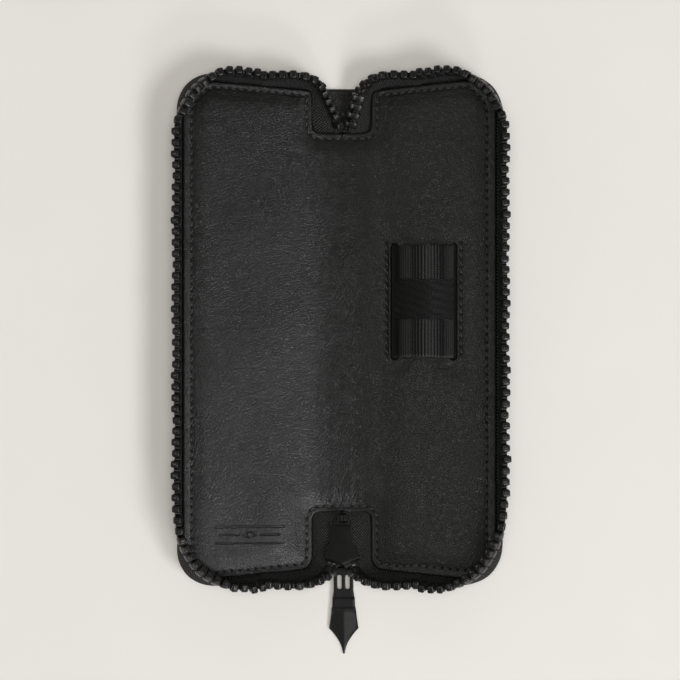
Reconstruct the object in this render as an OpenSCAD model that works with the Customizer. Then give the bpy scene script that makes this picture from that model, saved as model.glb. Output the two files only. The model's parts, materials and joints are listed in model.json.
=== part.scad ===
// Zip-around case for one fountain pen, lying open like a book on its spine.
// X runs across the two leaves, Y along the spine, Z up. The origin is the middle of the
// spine's outer face, which is the face the open case rests on. Millimetres.

/* [Leaves] */
// Distance from the fold line to the outer edge of a leaf's cover
leaf_w = 41; // [38:0.5:46]
// Half length of the case at the spine
spine_half = 76.4; // [74:0.1:80]
// Half length of a leaf near its outer corners
leaf_half = 79.2; // [78:0.1:82]
// Radius of a leaf's outer corners
corner_r = 13; // [9:0.5:18]
// Angle of the left leaf above the table, lying open
left_tilt = 12; // [0:1:30]
// Angle of the right leaf above the table, lying open
right_tilt = 17; // [0:1:30]

/* [Leather and board] */
// Distance from the middle of the spine to each fold line
fold_x = 11; // [10:0.5:14]
// Thickness of the outer leather
cover_t = 1.1; // [0.8:0.1:1.4]
// Thickness of the stiffening board
board_t = 0.6; // [0.4:0.1:0.8]
// Thickness of the thin foam
foam_t = 0.4; // [0.3:0.1:0.5]
// Thickness of the lining leather
lining_t = 0.9; // [0.6:0.1:1.0]

/* [Zip] */
// Distance from one tooth to the next on one chain
pitch = 3.4; // [3.2:0.1:3.8]
// Width of a tooth's body along the chain
tooth_w = 2.2; // [1.8:0.1:2.4]
// Thickness of a tooth across the chain
tooth_t = 2.8; // [2.2:0.1:3.2]
// Height of a tooth's body on the tape
tooth_h = 2.2; // [1.8:0.1:2.4]
// Width of a tooth's head along the chain
head_w = 1.4; // [1.2:0.1:1.4]
// Thickness of the woven tape
tape_t = 0.6; // [0.4:0.1:0.8]
// Lean of the zip's wall away from the leaf
wall_lean = 15; // [5:1:20]

/* [Pen loop] */
// Length of the elastic loop along the pen
loop_len = 35.3; // [30:0.1:40]
// Height of the loop's inside above the lining
loop_h = 8; // [7:0.1:8.5]
// Half of the loop's width between its slits
loop_half = 10.3; // [9:0.1:11]
// Thickness of the elastic band
loop_t = 1; // [0.8:0.1:1.2]

/* [Puller] */
// Length of the puller from its crossbar to its tip
puller_len = 30.9; // [28:0.1:31]
// Slope of the puller down to the table
puller_drop = 4.1; // [3.5:0.1:4.1]

/* [Hidden] */

$fn = 48;
gap = 0.1;                       // running clearance between moving faces
cut = 1;                         // overshoot of a cutting solid
leather = "#232223";
lining_black = "#2b2a2a";
thread_black = "#151515";
tape_black = "#1c1c1e";
tooth_black = "#202022";
metal_black = "#2e2e30";

stack_t = cover_t + board_t + foam_t + lining_t;
fold_z = stack_t / 2;            // height of the fold lines: the middle of the stack
under_z = -fold_z;               // outer face of a leaf, from its fold line
cover_z = under_z + cover_t;     // inner face of the cover
foam_z = cover_z + board_t;
lining_z = foam_z + foam_t;
inside_z = fold_z;               // face of the lining, from the fold line
mid_z = fold_x;                  // where the two chains meet, from a leaf's fold line
leaf_start = fold_z + 2 * gap;   // a leaf's stack starts clear of the fold's round bead
board_inset = 2;
lining_edge = leaf_w - 1.3;      // outer edge of the lining
lining_r = 12;                   // corner radius of the lining
tape_foot = leaf_w - 0.7;        // middle of the tape where it stands on the cover
tape_top = mid_z - 3.2;          // top of the tape's bare wall
tooth_foot = mid_z - 3.4;        // underside of the teeth
tip_out = leaf_w + 2.2;          // middle of the chain at the outer edge
tip_half = leaf_half + 1.1;      // middle of the chain at the far ends
tip_r = 21;                      // corner radius of the chain
wall_start = 15;                 // where the standing wall begins, from the fold line
notch_half = fold_x - leaf_start;  // half width of the notches at the spine's ends
top_notch = 62.4;                // inner edge of the top notch
bottom_notch = -57.7;            // inner edge of the bottom notch
stitch_pitch = 2.5;
stitch = [1.8, 0.45, 0.2];
chain_z = 6.1;                   // middle of the chain inside the slider
loop_x = 16.3;                   // middle of the pen loop, from the fold line
loop_y = 8.9;

// ---- A leaf's rim: an end edge, a round corner, the long side, and the same mirrored ----
// p = [start x, start y, outer x, outer y, corner radius]

function end_len(p) = norm([p[2] - p[4] - p[0], p[3] - p[1]]);
function arc_len(p) = PI / 2 * p[4];
function rim_len(p) = 2 * (end_len(p) + arc_len(p) + p[3] - p[4]);

// Point and heading at distance s along a rim
function rim_at(p, s) =
    let (a = end_len(p), b = arc_len(p), run = p[2] - p[4] - p[0], rise = p[3] - p[1])
    s > rim_len(p) / 2 ? let (m = rim_at(p, rim_len(p) - s)) [m[0], -m[1], 180 - m[2]]
    : s < a ? [p[0] + run * s / a, -p[1] - rise * s / a, -atan2(rise, run)]
    : s < a + b ? let (w = (s - a) / p[4] * 180 / PI)
        [p[2] - p[4] + p[4] * sin(w), p[4] - p[3] - p[4] * cos(w), w]
    : [p[2], p[4] - p[3] + s - a - b, 90];

// Distances of the stations that every rim shares: few on straights, more on corners
function stations(p) =
    let (a = end_len(p), b = arc_len(p), c = 2 * (p[3] - p[4]))
    [for (i = [0:3]) a * i / 3, for (i = [1:8]) a + b * i / 8, for (i = [1:6]) a + b + c * i / 6,
     for (i = [1:8]) a + b + c + b * i / 8, for (i = [1:3]) a + 2 * b + c + a * i / 3];

function rim_points(p) = [for (s = stations(p)) let (q = rim_at(p, s)) [q[0], q[1]]];

cover_rim = [leaf_start, spine_half, leaf_w, leaf_half, corner_r];
board_rim = [leaf_start, spine_half - board_inset, leaf_w - board_inset,
             leaf_half - board_inset, corner_r - board_inset];
lining_rim = [leaf_start, spine_half - 0.4, lining_edge, leaf_half - 1, lining_r];
stitch_rim = [leaf_start + 1.2, spine_half - 2.4, lining_edge - 2.6, leaf_half - 2.9, lining_r - 2];
foot_rim = [wall_start, spine_half + 1.1, tape_foot, leaf_half - 0.5, corner_r - 0.7];
tip_rim = [wall_start, tip_half - 0.8, tip_out, tip_half, tip_r];

// ---- Helpers ----

module on_right() translate([fold_x, 0, fold_z]) rotate([0, -right_tilt, 0]) children();
module on_left() mirror([1, 0, 0]) translate([fold_x, 0, fold_z]) rotate([0, -left_tilt, 0]) children();
module block(x0, x1, y0, y1, z0, z1) translate([x0, y0, z0]) cube([x1 - x0, y1 - y0, z1 - z0]);

// A flat layer of a leaf
module layer(rim, z0, thick) translate([0, 0, z0]) linear_extrude(thick) polygon(rim_points(rim));

// A band between a foot line and a top line, thick along the normals
module ribbon(feet, tops, normals, thick) {
    n = len(feet);
    pts = [for (i = [0:n - 1]) each [
        feet[i] - normals[i] * thick / 2, feet[i] + normals[i] * thick / 2,
        tops[i] + normals[i] * thick / 2, tops[i] - normals[i] * thick / 2]];
    sides = [for (i = [0:n - 2], k = [0:3])
        let (a = 4 * i + k, b = 4 * i + (k + 1) % 4) each [[a, b, b + 4], [a, b + 4, a + 4]]];
    polyhedron(pts, concat(sides, [[3, 2, 1], [3, 1, 0]],
        [[4 * n - 4, 4 * n - 3, 4 * n - 2], [4 * n - 4, 4 * n - 2, 4 * n - 1]]));
}

// One tooth: a body clamped over the tape's edge and a head that meets the other chain
module tooth() {
    translate([-tooth_w / 2, -tooth_t / 2, 0]) cube([tooth_w, tooth_t, tooth_h]);
    translate([-head_w / 2, -tooth_t / 2 + 0.2, tooth_h]) cube([head_w, tooth_t - 0.4, tooth_h + 0.1]);
}

module stitch_mark() translate([-stitch[0] / 2, -stitch[1] / 2, 0]) cube(stitch);

// ---- Layers of a leaf ----

module cover_layer() layer(cover_rim, under_z, cover_t);
module board_layer() layer(board_rim, cover_z, board_t);

module foam_layer(cutouts) difference() {
    layer(board_rim, foam_z, foam_t);
    if (cutouts) loop_tails(gap);
}

module lining_layer(slits) difference() {
    layer(lining_rim, lining_z, lining_t);
    if (slits) for (side = [-1, 1]) loop_leg(side, gap);
}

module tape_wall() {
    feet = [for (s = stations(foot_rim)) let (q = rim_at(foot_rim, s)) [q[0], q[1], cover_z]];
    tops = [for (s = stations(tip_rim)) let (q = rim_at(tip_rim, s)) [q[0], q[1], tape_top]];
    normals = [for (s = stations(tip_rim)) let (w = rim_at(tip_rim, s)[2]) [sin(w), -cos(w), 0]];
    ribbon(feet, tops, normals, tape_t);
}

// Teeth at even steps round the chain; start is the first one's distance along it
module teeth_row(start) {
    count = floor((rim_len(tip_rim) - start) / pitch);
    for (i = [0:count]) {
        q = rim_at(tip_rim, start + i * pitch);
        translate([q[0], q[1], tooth_foot]) rotate([0, 0, q[2]]) tooth();
    }
}

// Stitches round the lining's three outer edges and beside both notches
module edge_stitches() {
    count = floor(rim_len(stitch_rim) / stitch_pitch);
    for (i = [0:count]) {
        q = rim_at(stitch_rim, i * stitch_pitch);
        translate([q[0], q[1], inside_z]) rotate([0, 0, q[2]]) stitch_mark();
    }
    for (y = [top_notch : stitch_pitch : spine_half - 5])
        translate([stitch_rim[0], y, inside_z]) rotate(90) stitch_mark();
    for (y = [bottom_notch : -stitch_pitch : 5 - spine_half])
        translate([stitch_rim[0], y, inside_z]) rotate(90) stitch_mark();
}

// ---- The chain's run from a leaf's wall down to the spine: a cubic curve ----

function curve(c, t) = pow(1 - t, 3) * c[0] + 3 * t * pow(1 - t, 2) * c[1]
    + 3 * t * t * (1 - t) * c[2] + pow(t, 3) * c[3];
function turned(v, tilt) = [fold_x + v[0] * cos(tilt) - v[2] * sin(tilt), v[1],
                            fold_z + v[0] * sin(tilt) + v[2] * cos(tilt)];

// The chain's middle line and the tape's foot line for one end (dir 1 top, -1 bottom)
function chain_curve(tilt, dir) =
    let (start = turned([wall_start - 1.5, tip_rim[1], tooth_foot + 1], tilt),
         reach = dir > 0 ? 66 : 75.6, inner = dir > 0 ? 2.2 : 4.6)
    [[start[0], dir * start[1], start[2]], [start[0] - 9, dir * start[1], start[2] + 1],
     [inner + 2, dir * (spine_half + 2), chain_z + 3], [inner, dir * reach, chain_z]];
function foot_curve(tilt, dir) =
    let (start = turned([wall_start - 0.3, foot_rim[1] + 0.1, cover_z + 0.1], tilt))
    [[start[0], dir * start[1], start[2]], [start[0] - 6, dir * (start[1] + 0.7), start[2] - 1.2],
     [13, dir * (start[1] + 0.5), 2.4], [8.5, dir * start[1], 1.3]];

module bend_tape(tilt) for (dir = [-1, 1]) {
    steps = 10;
    top = chain_curve(tilt, dir);
    foot = foot_curve(tilt, dir);
    feet = [for (i = [0:steps]) curve(foot, i / steps)];
    tops = [for (i = [0:steps]) curve(top, i / steps)];
    normals = [for (i = [0:steps]) [0, 1, 0]];
    ribbon(feet, tops, normals, tape_t);
}

module bend_teeth(tilt) for (dir = [-1, 1]) {
    line = chain_curve(tilt, dir);
    n = dir > 0 ? 8 : 7;
    for (i = [1:n - 1]) {
        p = curve(line, i / n);
        d = curve(line, i / n + 0.02) - p;
        translate(p) rotate([0, 0, atan2(d[1], d[0])]) rotate([0, -atan2(d[2], norm([d[0], d[1]])), 0])
            translate([0, 0, -1]) tooth();
    }
}

// ---- Spine ----

module spine_cover() color(leather) {
    block(-fold_x, fold_x, -spine_half, spine_half, 0, cover_t);
    for (side = [-1, 1]) translate([side * fold_x, -spine_half, fold_z])
        rotate([-90, 0, 0]) cylinder(r = fold_z, h = 2 * spine_half);
}

module spine_board() color("#2b2a29")
    block(-notch_half + 1, notch_half - 1, bottom_notch + 1, top_notch - 1, cover_t, cover_t + board_t + foam_t);

module spine_lining() color(lining_black)
    block(-notch_half, notch_half, bottom_notch, top_notch, stack_t - lining_t, stack_t);

module top_tape_end() color(tape_black)
    block(-notch_half + 0.4, notch_half - 0.4, top_notch + 0.5, spine_half - 1.7, cover_t, cover_t + tape_t);

module bottom_tape_end() color(tape_black)
    block(-notch_half + 0.4, notch_half - 0.4, -60.5, bottom_notch - 0.5, cover_t, cover_t + tape_t);

// Teeth on the spine itself, lying on their sides in the notch
module end_teeth(x, y, count, z) for (side = [-1, 1], i = [0:count - 1])
    translate([side * x, y - i * pitch, z]) cube([1.7, tooth_w, tooth_t], center = true);

module top_end_teeth() color(tooth_black) end_teeth(3.2, 69, 2, cover_t + tape_t + tooth_t / 2);
module bottom_end_teeth() color(tooth_black) end_teeth(2.2, -65.5, 3, chain_z);

module top_stop() color(metal_black) block(-1.8, 1.8, 63.4, 66, cover_t + tape_t, cover_t + tape_t + 2.4);
module bottom_stop() color(metal_black) block(-1.6, 1.6, -60.4, -58.2, cover_t + tape_t, 7.2);

module notch_row(y) for (i = [-3:3])
    translate([i * stitch_pitch, y, stack_t]) stitch_mark();
module top_notch_stitching() color(thread_black) notch_row(top_notch - 1.6);
module bottom_notch_stitching() color(thread_black) notch_row(bottom_notch + 1.6);

// ---- Left leaf ----

module left_cover() color(leather) on_left() cover_layer();
module left_board() color("#2b2a29") on_left() board_layer();
module left_foam() color("#222221") on_left() foam_layer(false);
module left_lining() color(lining_black) on_left() lining_layer(false);
module left_tape() color(tape_black) on_left() tape_wall();
module left_teeth() color(tooth_black) on_left() teeth_row(0);
module left_stitching() color(thread_black) on_left() edge_stitches();
module left_bend_tape() color(tape_black) mirror([1, 0, 0]) bend_tape(left_tilt);
module left_bend_teeth() color(tooth_black) mirror([1, 0, 0]) bend_teeth(left_tilt);

// ---- Right leaf ----

module right_cover() color(leather) on_right() cover_layer();
module right_board() color("#2b2a29") on_right() board_layer();
module right_foam() color("#222221") on_right() foam_layer(true);
module right_lining() color(lining_black) on_right() lining_layer(true);
module right_tape() color(tape_black) on_right() tape_wall();
module right_teeth() color(tooth_black) on_right() teeth_row(pitch / 2);
module right_stitching() color(thread_black) on_right() edge_stitches();
module right_bend_tape() color(tape_black) bend_tape(right_tilt);
module right_bend_teeth() color(tooth_black) bend_teeth(right_tilt);

// ---- Pen loop ----

arch_r = (loop_h * loop_h + loop_half * loop_half) / (2 * loop_h);
arch_z = inside_z + loop_h - arch_r;       // height of the arch's centre
leg_out = sqrt(pow(arch_r + loop_t, 2) - pow(inside_z - arch_z, 2));
leg_in = leg_out - loop_t - 0.1;

// A leg passes through its slit in the lining; extra widens it into the slit itself
module loop_leg(side, extra) translate([loop_x, loop_y, 0])
    block(min(side * (leg_in - extra), side * (leg_out + extra)),
          max(side * (leg_in - extra), side * (leg_out + extra)),
          -loop_len / 2 - extra, loop_len / 2 + extra, lining_z - (extra > 0 ? cut : 0),
          inside_z + (extra > 0 ? cut : 0));

// The tails turn flat under the lining, in cut-outs of the foam
module loop_tails(extra) translate([loop_x, loop_y, 0]) for (side = [-1, 1]) {
    far = side < 0 ? leg_out + 2.4 : leg_out + 5;
    block(min(side * (leg_in - extra), side * (far + extra)),
          max(side * (leg_in - extra), side * (far + extra)),
          -loop_len / 2 - extra, loop_len / 2 + extra, foam_z - (extra > 0 ? cut : 0),
          lining_z + (extra > 0 ? cut : 0));
}

module pen_loop() color("#19191b") on_right() {
    difference() {
        translate([loop_x, loop_y + loop_len / 2, arch_z]) rotate([90, 0, 0]) difference() {
            cylinder(r = arch_r + loop_t, h = loop_len, $fn = 96);
            translate([0, 0, -cut]) cylinder(r = arch_r, h = loop_len + 2 * cut, $fn = 96);
        }
        block(0, 2 * loop_x, -loop_len, loop_len + 2 * loop_y, -4 * loop_x, inside_z);
    }
    for (side = [-1, 1]) loop_leg(side, 0);
    loop_tails(0);
}

module loop_stitching() color(thread_black) on_right() for (side = [-1, 1])
    for (i = [-7:7]) translate([loop_x + side * (leg_out + 1.4), loop_y + i * stitch_pitch, inside_z])
        rotate(90) stitch_mark();

// ---- Slider and puller ----

slider_tail = -61.6;             // narrow end of the slider
slider_nose = -74.2;             // point of its front
shoulder = -71.9;                // its widest place
bridge_z = 1.3;                  // underside of the bridge, just above the cover
plate_z = 3.7;                   // underside of the outer plate
plate_t = 0.9;                   // thickness of both plates
top_plate_z = 7.6;               // underside of the plate that shows
pivot_y = -71.9;                 // the puller's crossbar, in the bridge
pivot_z = 2.9;
bar_r = 0.45;

module slider_outline() polygon([[3.3, slider_tail], [3.3, slider_tail - 4.6], [5.7, shoulder],
    [4.2, shoulder - 1.6], [0, slider_nose], [-4.2, shoulder - 1.6], [-5.7, shoulder],
    [-3.3, slider_tail - 4.6], [-3.3, slider_tail]]);

module slider_body() color(metal_black) {
    translate([0, 0, plate_z]) linear_extrude(plate_t) slider_outline();
    translate([0, 0, top_plate_z]) linear_extrude(plate_t) slider_outline();
    // The post that parts the chains
    translate([0, 0, plate_z]) linear_extrude(top_plate_z - plate_z + plate_t)
        polygon([[0, -70.5], [1.2, -72.6], [0, slider_nose], [-1.2, -72.6]]);
    // The flanges that hold the chains in
    for (side = [-1, 1]) translate([side * 5.1, shoulder + 0.3, (plate_z + top_plate_z + plate_t) / 2])
        cube([1, 1.6, top_plate_z - plate_z + plate_t], center = true);
}

module slider_bridge() color(metal_black) {
    block(-1.5, 1.5, -73.4, -62.6, bridge_z, bridge_z + 0.7);
    block(-1.5, 1.5, -63.6, -62.6, bridge_z, plate_z);
    block(-1.5, 1.5, -73.4, -72.7, bridge_z, plate_z);
}

module puller_frame() translate([0, pivot_y, pivot_z]) rotate([puller_drop, 0, 0]) children();

// Half outline of the puller: straight arms, a shallow collar, shoulders, then a hollow taper to the tip
function nib_taper(t) = [4.7 - 4.3 * (1 - pow(1 - t, 1.9)), -22.9 - (puller_len - 22.9) * t];
puller_half = concat([[3.1, 0], [3.2, -10.8], [3.7, -12.6], [3.75, -16.2], [4.35, -19.6]],
    [for (i = [0:8]) nib_taper(i / 8)]);
puller_t = 1.25;

module nib_puller() color(metal_black) puller_frame() difference() {
    union() {
        translate([0, 0, -puller_t / 2]) linear_extrude(puller_t) polygon(concat(puller_half,
            [for (i = [len(puller_half) - 1:-1:0]) [-puller_half[i][0], puller_half[i][1]]]));
        translate([-3.1, 0, 0]) rotate([0, 90, 0]) cylinder(r = puller_t / 2, h = 6.2);
    }
    // Room between the arms for the bridge
    translate([-1.8, -3.4, -cut - puller_t / 2]) cube([3.6, 6, puller_t + 2 * cut]);
    // Two slots side by side
    for (side = [-1, 1]) translate([side * 1.28 - 0.65, -10.1, -cut - puller_t / 2])
        cube([1.3, 4.4, puller_t + 2 * cut]);
    translate([-cut - 3.1, 0, 0]) rotate([0, 90, 0]) cylinder(r = bar_r, h = 6.2 + 2 * cut);
}

module puller_crossbar() color(metal_black) puller_frame()
    translate([-3.1, 0, 0]) rotate([0, 90, 0]) cylinder(r = bar_r, h = 6.2);

spine_cover();
spine_board();
spine_lining();
top_tape_end();
bottom_tape_end();
top_end_teeth();
bottom_end_teeth();
top_stop();
bottom_stop();
top_notch_stitching();
bottom_notch_stitching();
left_cover();
left_board();
left_foam();
left_lining();
left_tape();
left_teeth();
left_stitching();
left_bend_tape();
left_bend_teeth();
right_cover();
right_board();
right_foam();
right_lining();
right_tape();
right_teeth();
right_stitching();
right_bend_tape();
right_bend_teeth();
pen_loop();
loop_stitching();
slider_body();
slider_bridge();
nib_puller();
puller_crossbar();
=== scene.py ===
"""Looks of a zip-around fountain pen case that lies open: leather, zip, thread and metal.

Sizes are in millimetres and become metres in new_piece(). A leaf has its own frame: x from its
fold line outwards, y along the spine, z up out of the open case, and leaf_to_row() places it.
A sheet is drawn flat, in u across from the spine's middle and v along the spine, and then bent.
"""

import json
import math

import bpy
import numpy as np
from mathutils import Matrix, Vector
from mathutils.geometry import delaunay_2d_cdt


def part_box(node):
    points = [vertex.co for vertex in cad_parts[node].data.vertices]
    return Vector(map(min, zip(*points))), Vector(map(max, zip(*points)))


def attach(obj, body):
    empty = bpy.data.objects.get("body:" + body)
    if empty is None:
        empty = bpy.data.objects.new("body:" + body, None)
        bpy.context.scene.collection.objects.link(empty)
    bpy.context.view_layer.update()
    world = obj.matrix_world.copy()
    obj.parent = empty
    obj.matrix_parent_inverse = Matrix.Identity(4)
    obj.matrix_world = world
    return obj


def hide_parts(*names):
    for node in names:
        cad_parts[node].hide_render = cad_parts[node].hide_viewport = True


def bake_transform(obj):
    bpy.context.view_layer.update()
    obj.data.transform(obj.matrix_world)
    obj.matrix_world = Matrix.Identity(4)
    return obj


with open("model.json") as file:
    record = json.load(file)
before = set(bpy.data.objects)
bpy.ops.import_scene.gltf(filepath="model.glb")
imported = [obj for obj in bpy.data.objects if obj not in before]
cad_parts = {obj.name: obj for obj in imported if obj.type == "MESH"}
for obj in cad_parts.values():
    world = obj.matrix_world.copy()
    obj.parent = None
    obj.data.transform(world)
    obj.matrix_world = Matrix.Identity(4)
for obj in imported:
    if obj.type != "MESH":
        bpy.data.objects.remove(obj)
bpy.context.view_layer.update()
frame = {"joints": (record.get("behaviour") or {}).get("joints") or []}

# ---------------- sizes, from the frame

MM = 0.001
JOINTS = {j["name"]: j for j in frame["joints"]}
FOLD_X = JOINTS["right_fold"]["pos_m"][0] / MM
FOLD_Z = JOINTS["right_fold"]["pos_m"][2] / MM
TILT = {s: math.radians(-JOINTS[s + "_fold"]["range_deg"][0]) for s in ("left", "right")}
SIGN = {"left": -1, "right": 1}


def corner(node):
    """A CAD node's highest corner, in millimetres."""
    return np.array(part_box(node)[1]) / MM


def low_corner(node):
    return np.array(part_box(node)[0]) / MM


SPINE_HALF = corner("spine_cover")[1]
LEAF_HALF = corner("right_cover")[1]
LINING_HALF = corner("right_lining")[1]
COVER_T = low_corner("spine_board")[2]
STACK_T = corner("spine_lining")[2]
LINING_T = STACK_T - low_corner("spine_lining")[2]


def leaf_reach(node, height):
    """How far a node of the right leaf reaches from its fold line, its outer edge being at that height."""
    tilt = TILT["right"]
    return (corner(node)[0] - FOLD_X + height * math.sin(tilt)) / math.cos(tilt)


LEAF_W = leaf_reach("right_cover", -FOLD_Z)
LINING_W = leaf_reach("right_lining", FOLD_Z - LINING_T)
NOTCH_HALF = corner("spine_lining")[0]
NOTCH_TOP = corner("spine_lining")[1]
NOTCH_BOTTOM = low_corner("spine_lining")[1]
COVER_IN_Z = COVER_T - FOLD_Z

COVER_R = 13.0
LINING_R = 10.5
TIP_OUT = {"left": LEAF_W + 1.9, "right": LEAF_W + 2.6}
TIP_HALF = LEAF_HALF + 1.1
# The chain's corners, across and along the leaf: at the bottom, at the top
TIP_R = {"left": ((20.0, 22.5), (17.0, 20.0)), "right": ((20.5, 26.5), (18.0, 20.0))}
CORNER_BELLY = {"left": 2.2, "right": 1.0}
FLARE = 1.4
TOOTH_FOOT = FOLD_X - 3.3
PITCH = 3.45
END_PITCH = 2.95
STITCH_PITCH = 2.5

# ---------------- small tools


def stacked(*columns):
    """Points or directions from their coordinates; a number stands for a column of it."""
    return np.stack(np.broadcast_arrays(*columns), axis=-1)


def smooth(t):
    t = np.clip(t, 0, 1)
    return t * t * (3 - 2 * t)


def unit(v):
    v = np.asarray(v, float)
    return v / np.maximum(np.linalg.norm(v, axis=-1, keepdims=True), 1e-12)


def tangents(points):
    return unit(np.gradient(points, axis=0))


def left_of(dirs):
    """Flat directions turned a quarter to the left."""
    return stacked(-dirs[..., 1], dirs[..., 0])


def lengths(points):
    """How far along a line each of its points is."""
    return np.concatenate([[0], np.cumsum(np.linalg.norm(np.diff(points, axis=0), axis=1))])


def along_line(at, s, points):
    """The places at a distance along a line of points, whose lengths are s."""
    return stacked(*[np.interp(at, s, column) for column in points.T])


def leaf_to_row(side, pts):
    """Points of a leaf's own frame, in the row frame."""
    c, s = math.cos(TILT[side]), math.sin(TILT[side])
    x, y, z = pts[..., 0], pts[..., 1], pts[..., 2]
    return stacked(SIGN[side] * (FOLD_X + x * c - z * s), y, FOLD_Z + x * s + z * c)


def link(name, data):
    """A new object in the scene."""
    obj = bpy.data.objects.new(name, data)
    bpy.context.scene.collection.objects.link(obj)
    return obj


def new_piece(name, verts, faces, material, uv=None, sharp=35, flip=False):
    """A mesh object from millimetre points; uv is one (u, v) per point, in millimetres."""
    mesh = bpy.data.meshes.new(name)
    faces = [list(f)[::-1] for f in faces] if flip else [list(f) for f in faces]
    mesh.from_pydata((np.asarray(verts, float) * MM).tolist(), [], faces)
    if uv is not None:
        loops = np.zeros(len(mesh.loops), np.int32)
        mesh.loops.foreach_get("vertex_index", loops)
        layer = mesh.uv_layers.new(name="mm")
        layer.data.foreach_set("uv", np.asarray(uv, np.float32)[loops].ravel())
    mesh.materials.append(material)
    mesh.polygons.foreach_set("use_smooth", [True] * len(mesh.polygons))
    mesh.update()
    mesh.set_sharp_from_angle(angle=math.radians(sharp))
    return link(name, mesh)


def joined(shapes):
    """Many small closed shapes, each its vertices and faces, as one."""
    starts = np.cumsum([0] + [len(verts) for verts, _ in shapes])
    faces = [[i + start for i in face] for (_, faces), start in zip(shapes, starts) for face in faces]
    return np.concatenate([verts for verts, _ in shapes]), faces


def circle(n):
    """The cosines and sines of n even turns."""
    a = 2 * np.pi * np.arange(n) / n
    return np.cos(a), np.sin(a)


def loft(rings):
    """A closed shape through rings of points, which run round the way from the first ring to the last."""
    count, around = len(rings), len(rings[0])
    faces = [(i * around + k, i * around + (k + 1) % around,
              (i + 1) * around + (k + 1) % around, (i + 1) * around + k)
             for i in range(count - 1) for k in range(around)]
    faces += [tuple(range(around))[::-1], tuple(range((count - 1) * around, count * around))]
    return np.concatenate(rings), faces


def settle(piece, slot, body=None, *nodes):
    """Attaches a piece to the body that it rides on and hides the CAD nodes that it replaces; slot, meant for
    the piece's finish, is not used.
    """
    if body:
        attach(piece, body)
    if nodes:
        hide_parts(*nodes)


def blend_over_fold(piece, side, start, end):
    """Bakes a piece's placement into its mesh; side, start and end are not used."""
    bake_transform(piece)


# ---------------- flat outlines


def arc(cx, cy, r, a0, a1, n=10):
    """Points on a circle from angle a0 to a1, in degrees."""
    a = np.radians(np.linspace(a0, a1, n))
    return stacked(cx + r * np.cos(a), cy + r * np.sin(a))


def round_box(x0, y0, x1, y1, r):
    """A rectangle with round corners."""
    centres = [(x1 - r, y1 - r), (x0 + r, y1 - r), (x0 + r, y0 + r), (x1 - r, y0 + r)]
    return np.concatenate([arc(x, y, r, 90 * k, 90 * k + 90, 5) for k, (x, y) in enumerate(centres)])


def resample(loop, step):
    """A closed loop with points no further apart than step."""
    out = []
    for a, b in zip(loop, np.roll(loop, -1, axis=0)):
        n = max(1, math.ceil(np.linalg.norm(b - a) / step))
        out += [a + (b - a) * i / n for i in range(n)]
    return np.array(out)


def inside(points, loop):
    """Which points lie inside a closed loop."""
    found = np.zeros(len(points), bool)
    for a, b in zip(loop, np.roll(loop, -1, axis=0)):
        if a[1] == b[1]:
            continue
        crosses = (points[:, 1] < a[1]) != (points[:, 1] < b[1])
        at = a[0] + (points[:, 1] - a[1]) * (b[0] - a[0]) / (b[1] - a[1])
        found ^= crosses & (points[:, 0] < at)
    return found


def edge_distance(points, loops):
    """How far each point is from the nearest edge of any loop."""
    best = np.full(len(points), np.inf)
    for loop in loops:
        for a, b in zip(loop, np.roll(loop, -1, axis=0)):
            d = b - a
            t = np.clip(((points - a) @ d) / max(d @ d, 1e-12), 0, 1)
            best = np.minimum(best, np.linalg.norm(points - a - t[:, None] * d, axis=1))
    return best


def flat_mesh(outline, step, rings, holes=(), extra=None):
    """Triangles that fill an outline. rings are distances from the edges that get lines of points."""
    loops = [resample(np.asarray(loop, float), step) for loop in (outline, *holes)]
    ringed = []
    for loop in loops:
        aside = left_of(unit(np.roll(loop, -1, axis=0) - np.roll(loop, 1, axis=0)))
        ringed += [loop + turn * d * aside for d in rings for turn in (1, -1)]
    low, high = loops[0].min(0), loops[0].max(0)
    rows = np.arange(low[1], high[1], step * 0.87)
    grid = np.array([[x + (i % 2) * step / 2, y] for i, y in enumerate(rows)
                     for x in np.arange(low[0], high[0], step)])

    def filled(points):
        found = inside(points, loops[0])
        for hole in loops[1:]:
            found &= ~inside(points, hole)
        return found

    def kept(points, least):
        points = points[filled(points)]
        return points[edge_distance(points, loops) > least]

    parts = [*loops, kept(np.concatenate(ringed), min(rings) * 0.9)]
    if extra is not None:
        parts.append(kept(extra, step * 0.3))
    parts.append(kept(grid, max(rings) + step * 0.45))
    edges, start = [], 0
    for loop in loops:
        n = len(loop)
        edges += [(start + i, start + (i + 1) % n) for i in range(n)]
        start += n
    points = [Vector(p) for p in np.concatenate(parts)]
    verts, _, tris, *_ = delaunay_2d_cdt(points, edges, [], 0, 1e-5)
    verts = np.array([v[:] for v in verts])
    tris = np.array([t for t in tris if len(t) == 3])
    tris = tris[filled(verts[tris].mean(1))]
    a, b, c = (verts[tris[:, i]] for i in range(3))
    turn = (b - a)[:, 0] * (c - a)[:, 1] - (b - a)[:, 1] * (c - a)[:, 0]
    tris[turn < 0] = tris[turn < 0][:, ::-1]
    used, tris = np.unique(tris, return_inverse=True)
    return verts[used], tris.reshape(-1, 3)


def slab_faces(tris, n):
    """Faces of a sheet with a top (points 0 to n) and an underside (points n to 2n)."""
    tops = [tuple(t) for t in tris]
    unders = [(c + n, b + n, a + n) for a, b, c in tris]
    edges = dict.fromkeys(pair for a, b, c in tris for pair in ((a, b), (b, c), (c, a)))
    return tops + unders + [(b, a, a + n, b + n) for a, b in edges if (b, a) not in edges]


def rounded(d, r):
    """How far a surface falls near an edge that is rounded with radius r, at distance d from it."""
    d = np.clip(d, 0, r)
    return r - np.sqrt(np.maximum(r * r - (r - d) ** 2, 0))


# ---------------- materials


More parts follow.
